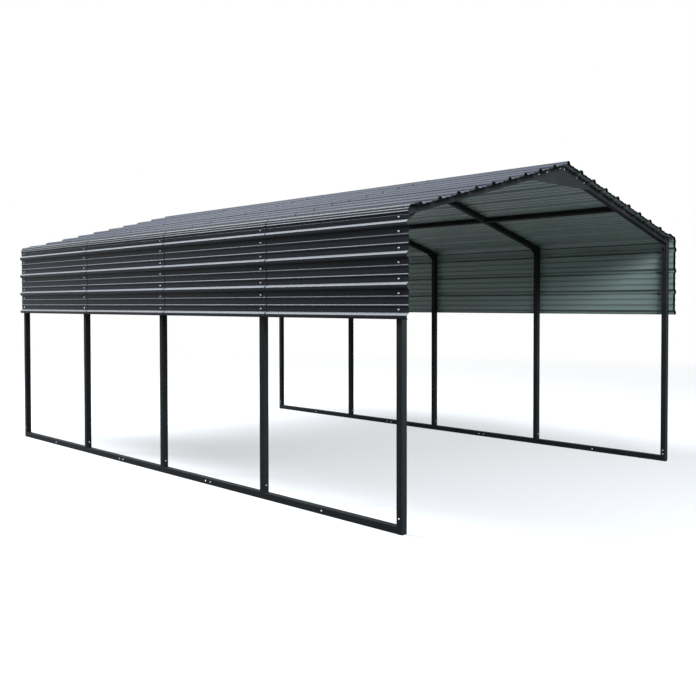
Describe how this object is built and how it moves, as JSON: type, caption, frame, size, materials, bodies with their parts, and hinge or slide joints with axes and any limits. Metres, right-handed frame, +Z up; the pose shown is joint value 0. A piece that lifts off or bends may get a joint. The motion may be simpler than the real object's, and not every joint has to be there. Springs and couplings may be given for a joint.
{
  "type": "steel carport with half-height side walls",
  "caption": "Open gable carport of square steel tube, roofed with ribbed steel sheet that turns down at the eaves into half-height side walls.",
  "frame": {"origin": "on the ground, at the middle of the plan", "axes": "+X to the right across the width, +Y from the front end to the back end, +Z up"},
  "size_m": [3.751, 6.1, 2.6557],
  "materials": {
    "frame_steel": "satin black powder coat",
    "sheet_steel": "semi-gloss dark grey coil coat, pale grey-green back coat inside"
  },
  "bodies": {
    "root": {"front_left_post": "frame_steel", "front_left_rafter": "frame_steel", "front_right_post": "frame_steel", "front_right_rafter": "frame_steel", "front_ridge_plate": "frame_steel", "second_left_post": "frame_steel", "second_left_rafter": "frame_steel", "second_right_post": "frame_steel", "second_right_rafter": "frame_steel", "second_ridge_plate": "frame_steel", "third_left_post": "frame_steel", "third_left_rafter": "frame_steel", "third_right_post": "frame_steel", "third_right_rafter": "frame_steel", "third_ridge_plate": "frame_steel", "fourth_left_post": "frame_steel", "fourth_left_rafter": "frame_steel", "fourth_right_post": "frame_steel", "fourth_right_rafter": "frame_steel", "fourth_ridge_plate": "frame_steel", "back_left_post": "frame_steel", "back_left_rafter": "frame_steel", "back_right_post": "frame_steel", "back_right_rafter": "frame_steel", "back_ridge_plate": "frame_steel", "left_rail_front": "frame_steel", "left_rail_middle": "frame_steel", "left_rail_back": "frame_steel", "left_purlins": "frame_steel", "left_upper_roof_sheets": "sheet_steel", "left_lower_roof_sheets": "sheet_steel", "left_wall_sheets": "sheet_steel", "right_rail_front": "frame_steel", "right_rail_middle": "frame_steel", "right_rail_back": "frame_steel", "right_purlins": "frame_steel", "right_upper_roof_sheets": "sheet_steel", "right_lower_roof_sheets": "sheet_steel", "right_wall_sheets": "sheet_steel", "ridge_caps": "sheet_steel"}
  },
  "joints": []
}
